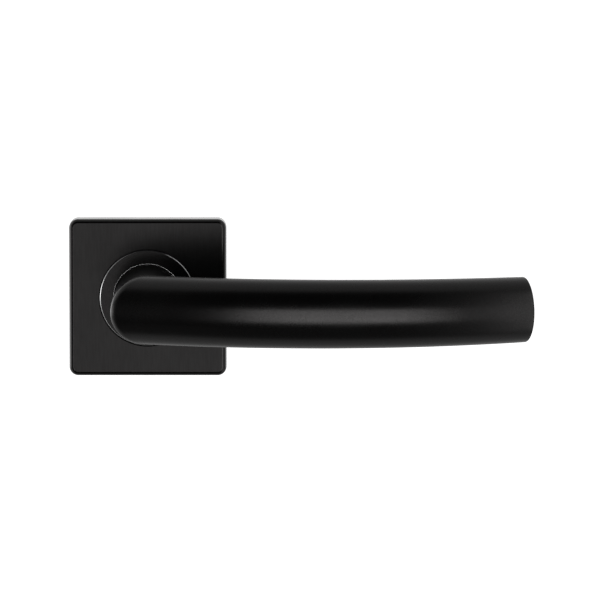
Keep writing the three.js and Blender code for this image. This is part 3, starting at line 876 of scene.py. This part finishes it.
def black_coat(name, roughness, specular, brushing=EVEN, line_scale=LINE_SCALE, line_depth=0.001 * MM,
               across=0.0, dull_gloss=DULL_GLOSS, speckle_stretch=EVEN, tilt=0.0):
    """Satin black: a near-black colour with fine lines and grain, and a gloss that is a little cloudy
    and speckled.

    brushing and speckle_stretch draw out the lines and the speckle. across spreads reflections to the
    left and right, as upright brush lines do. tilt is the slope by which the gloss faces downwards, a
    little more near the top than near the bottom.
    """
    coat = Shader(name, colour=grey(0.001), metallic=0.0, roughness=roughness)
    lines = coat.noise(line_scale, detail=3.0, stretch=brushing)
    cloud = coat.noise(CLOUD_SCALE, detail=2.0)
    grain = coat.noise(GRAIN_SCALE, detail=2.0)
    coat.tint(lines, grey(0.0006), grey(0.0014))
    coat.roughen(cloud, roughness - 0.02, roughness + 0.02)
    coat.bump(lines, line_depth)
    coat.bump(grain, GRAIN_DEPTH)
    if tilt:
        height = coat.part("Z")
        steeper = coat.math("MULTIPLY_ADD", height, ROSE_DISH, 1)
        coat.bump(coat.math("MULTIPLY", height, steeper), tilt)
    coat.base.inputs["Specular IOR Level"].default_value = specular
    speckle = coat.noise(GRAIN_SCALE, detail=1.0, stretch=speckle_stretch)
    coat.tint(speckle, dull_gloss, BRIGHT_GLOSS, "Specular Tint")
    if across:
        coat.base.inputs["Anisotropic"].default_value = across
        level = coat.nodes.new("ShaderNodeTangent")
        level.direction_type = "RADIAL"
        level.axis = "Z"
        coat.links.new(level.outputs["Tangent"], coat.base.inputs["Tangent"])
    return coat.material


def rubbed_metal(name):
    """Bare metal that rubbing has polished."""
    metal = Shader(name, colour=grey(0.9), metallic=1.0, roughness=0.18)
    metal.roughen(metal.noise(300, detail=2.0), 0.18, 0.22)
    return metal


def burnished_edge():
    """The fine bead round the ring's bore, rubbed bright."""
    metal = rubbed_metal("burnished_edge")
    metal.tint(metal.noise(900, detail=3.0), grey(0.84), grey(0.96))
    return metal.material


def rubbed_rim_painted_highlight():
    """The ring's outer edge: bare rubbed metal with a painted highlight, brighter on the left and duller
    towards the right.
    """
    metal = rubbed_metal("rubbed_rim_painted_highlight")
    # Painted highlight: the colour grows brighter towards the left, where the light falls on the edge; the
    # noise adds a random rubbed tone.
    wear_and_highlight = metal.math("MULTIPLY_ADD", metal.part("X"), RIM_HIGHLIGHT_FALL, metal.noise(900, detail=3.0))
    metal.tint(wear_and_highlight, grey(0.28), grey(0.94))
    return metal.material


def cast_zinc():
    """A grey casting, mottled and grainy."""
    metal = Shader("cast_zinc", colour=grey(0.5), metallic=1.0, roughness=0.45)
    metal.tint(metal.noise(500, detail=5.0), (0.42, 0.425, 0.43), (0.58, 0.585, 0.59))
    metal.roughen(metal.noise(220, detail=4.0), 0.36, 0.55)
    metal.bump(metal.noise(2500, detail=3.0), 0.02 * MM)
    return metal.material


def plated_steel(name, brushing):
    """Pale plating with fine lines, drawn out where brushing is small."""
    metal = Shader(name, colour=grey(0.6), metallic=1.0, roughness=0.28)
    metal.tint(metal.noise(300, detail=4.0), (0.55, 0.56, 0.575), (0.66, 0.67, 0.68))
    metal.roughen(metal.noise(2600, detail=3.0, stretch=brushing), 0.2, 0.38)
    metal.bump(metal.noise(2600, detail=3.0, stretch=brushing), 0.004 * MM)
    return metal.material


def dark_steel(name):
    """Blackened steel, faintly mottled."""
    metal = Shader(name, colour=grey(0.08), metallic=1.0, roughness=0.38)
    metal.tint(metal.noise(700, detail=4.0), grey(0.05), grey(0.11))
    metal.roughen(metal.noise(900, detail=3.0), 0.3, 0.46)
    return metal.material


def moulded(name, dark, light, roughness, specular=0.5):
    """Plastic with a fine moulded grain."""
    plastic = Shader(name, colour=light, metallic=0.0, roughness=roughness)
    plastic.tint(plastic.noise(400, detail=3.0), dark, light)
    plastic.roughen(plastic.noise(900, detail=3.0), roughness - 0.06, roughness + 0.06)
    plastic.bump(plastic.noise(6000, detail=2.0), 0.004 * MM)
    plastic.base.inputs["Specular IOR Level"].default_value = specular
    return plastic.material


# ================================================================ surroundings
def add_camera():
    """A long lens in front of the handle, looking a little downwards."""
    data = bpy.data.cameras.new("camera")
    data.lens = CAMERA_LENS
    data.sensor_width = 36
    data.clip_end = 200
    camera = bpy.data.objects.new("camera", data)
    bpy.context.scene.collection.objects.link(camera)
    away = Vector((0, -math.cos(CAMERA_ELEVATION), math.sin(CAMERA_ELEVATION)))
    camera.location = CAMERA_TARGET + away * CAMERA_DISTANCE
    camera.rotation_euler = (math.pi / 2 - CAMERA_ELEVATION, 0, 0)
    bpy.context.scene.camera = camera


def add_floor():
    """A plain pale floor, lit evenly, which the dark finish does not mirror."""
    corners = [(x * FLOOR_HALF, y * FLOOR_HALF, FLOOR_Z) for x, y in ((-1, -1), (1, -1), (1, 1), (-1, 1))]
    floor = link("floor", corners, [(0, 1, 2, 3)])
    pale = bpy.data.materials.new("pale_floor")
    pale.use_nodes = True
    base = pale.node_tree.nodes["Principled BSDF"]
    base.inputs["Base Color"].default_value = (*grey(FLOOR_GREY), 1)
    base.inputs["Roughness"].default_value = 0.9
    base.inputs["Emission Color"].default_value = (1, 1, 1, 1)
    base.inputs["Emission Strength"].default_value = FLOOR_GLOW
    floor.data.materials.append(pale)
    floor.visible_glossy = False
    floor.visible_diffuse = False


def add_ramp(nodes, links, value, stops):
    """A grey level that runs through (value, level) stops."""
    ramp = nodes.new("ShaderNodeValToRGB")
    elements = ramp.color_ramp.elements
    while len(elements) < len(stops):
        elements.new(0.5)
    for element, (position, level) in zip(elements, stops):
        element.position = position
        element.color = (*grey(level), 1)
    links.new(value, ramp.inputs["Fac"])
    return ramp.outputs["Color"]


def from_left(stops):
    """Stops by the sideways part of a direction, moved from the range -1 to 1 onto 0 to 1."""
    return [((x + 1) / 2, level) for x, level in stops]


def add_world():
    """A studio by direction: a black cove in front, pale walls at the sides and behind. The camera
    itself sees plain white."""
    world = bpy.data.worlds.new("studio")
    world.use_nodes = True
    nodes = world.node_tree.nodes
    links = world.node_tree.links
    nodes.clear()
    place = nodes.new("ShaderNodeTexCoord")
    split = nodes.new("ShaderNodeSeparateXYZ")
    links.new(place.outputs["Generated"], split.inputs["Vector"])

    height = add_math(nodes, links, "ABSOLUTE", split.outputs["Z"])
    steepness = add_math(nodes, links, "POWER", height, STEEP_POWER)
    spread = add_math(nodes, links, "MULTIPLY", steepness, STEEP_SHARE)
    lean = add_math(nodes, links, "MULTIPLY_ADD", split.outputs["X"], spread, split.outputs["X"])
    sideways = nodes.new("ShaderNodeMapRange")
    sideways.inputs["From Min"].default_value = -1
    sideways.inputs["From Max"].default_value = 1
    links.new(lean, sideways.inputs["Value"])
    front = add_ramp(nodes, links, sideways.outputs["Result"], from_left(FRONT_LEVELS))
    share = add_ramp(nodes, links, sideways.outputs["Result"], from_left(BEHIND_SHARES))

    behind = nodes.new("ShaderNodeMix")
    behind.data_type = "RGBA"
    behind.blend_type = "MULTIPLY"
    behind.inputs["Factor"].default_value = 1
    links.new(add_ramp(nodes, links, height, BEHIND_LEVELS), behind.inputs["A"])
    links.new(share, behind.inputs["B"])

    turn = nodes.new("ShaderNodeMapRange")
    turn.interpolation_type = "SMOOTHSTEP"
    turn.inputs["From Min"].default_value = FRONT_END
    turn.inputs["From Max"].default_value = BEHIND_START
    links.new(split.outputs["Y"], turn.inputs["Value"])
    blend = nodes.new("ShaderNodeMix")
    blend.data_type = "RGBA"
    links.new(turn.outputs["Result"], blend.inputs["Factor"])
    links.new(front, blend.inputs["A"])
    links.new(behind.outputs["Result"], blend.inputs["B"])

    studio = nodes.new("ShaderNodeBackground")
    links.new(blend.outputs["Result"], studio.inputs["Color"])
    plain = nodes.new("ShaderNodeBackground")
    plain.inputs["Color"].default_value = (1, 1, 1, 1)
    seen = nodes.new("ShaderNodeLightPath")
    mix = nodes.new("ShaderNodeMixShader")
    links.new(seen.outputs["Is Camera Ray"], mix.inputs["Fac"])
    links.new(studio.outputs["Background"], mix.inputs[1])
    links.new(plain.outputs["Background"], mix.inputs[2])
    output = nodes.new("ShaderNodeOutputWorld")
    links.new(mix.outputs["Shader"], output.inputs["Surface"])
    bpy.context.scene.world = world


def add_softbox(name, azimuth, elevation, distance, width, height, power):
    """An area light that faces the handle. Azimuth 0 stands in front of it, 90 at its right."""
    data = bpy.data.lights.new(name, "AREA")
    data.shape = "RECTANGLE"
    data.size = width
    data.size_y = height
    data.energy = power
    lamp = bpy.data.objects.new(name, data)
    bpy.context.scene.collection.objects.link(lamp)
    az = math.radians(azimuth)
    el = math.radians(elevation)
    out = Vector((math.sin(az) * math.cos(el), -math.cos(az) * math.cos(el), math.sin(el)))
    lamp.location = CAMERA_TARGET + out * distance
    lamp.rotation_euler = (-out).to_track_quat("-Z", "Y").to_euler()


# ================================================================ build
lever_black = black_coat("lever_black", roughness=0.27, specular=0.57, brushing=UPRIGHT,
                         line_depth=0.002 * MM)
# Painted shade: the neck is the lever's black coat with its gloss turned far down, so it stays dark as if
# shaded.
neck_painted_shade = black_coat("neck_painted_shade", roughness=0.42, specular=0.08)
rose_black = black_coat("rose_black", roughness=0.17, specular=0.5, brushing=UPRIGHT)
rose_brushed = black_coat("rose_brushed_black", roughness=0.3, specular=0.215, brushing=UPRIGHT,
                          line_scale=5000, line_depth=0.006 * MM, across=0.3,
                          dull_gloss=ROSE_DULL_GLOSS, speckle_stretch=SHORT_UPRIGHT, tilt=ROSE_TILT)
ring_black = black_coat("ring_black", roughness=0.17, specular=0.15)
ring_bead = burnished_edge()
# The ring's edge metal carries a painted highlight, brighter on the left.
ring_rim_highlight = rubbed_rim_painted_highlight()
zinc = cast_zinc()
plated = plated_steel("plated_steel", brushing=(1, 0.05, 1))
wire = plated_steel("spring_wire", brushing=EVEN)
oxide = dark_steel("black_oxide")
nylon = moulded("natural_nylon", (0.66, 0.64, 0.58), (0.78, 0.76, 0.70), roughness=0.5)
acetal = moulded("black_acetal", grey(0.008), grey(0.016), roughness=0.6, specular=0.1)

make_lever(lever_black, neck_painted_shade)
make_rose_cover(rose_black, rose_brushed)
make_guide_ring(ring_black, ring_bead, ring_rim_highlight)
make_spring_housing(acetal)
make_return_spring(wire)
make_base_plate(zinc)
make_spindle(plated)
make_bush(nylon)
make_washer(nylon)
for index in (1, 2):
    make_fixing_bolt(f"fixing_bolt_{index}", plated)
    make_sleeve_nut(f"sleeve_nut_{index}", plated)
for index in (1, 2, 3, 4):
    make_wood_screw(f"wood_screw_{index}", plated)

kept_nodes = {
    "neck_core": zinc, "grub_screw": oxide, "driver_plate": plated, "circlip": oxide,
    "stop_pin_1": plated, "stop_pin_2": plated,
    "cover_clip_1": wire, "cover_clip_2": wire, "cover_clip_3": wire, "cover_clip_4": wire,
}
for node, material in kept_nodes.items():
    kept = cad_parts[node]
    for place in kept.material_slots:
        place.material = material
    soften(kept, KEPT_EDGE)

add_camera()
add_floor()
add_world()
add_softbox("front_softbox", azimuth=3.2, elevation=-1, distance=1.2, width=0.96, height=0.92, power=5.4)
add_softbox("lower_panel", azimuth=8, elevation=-15, distance=1.19, width=0.75, height=0.36, power=0.45)
add_softbox("low_fill", azimuth=0, elevation=-62, distance=1.0, width=1.4, height=0.7, power=0.18)

bpy.context.scene.view_settings.view_transform = "Standard"
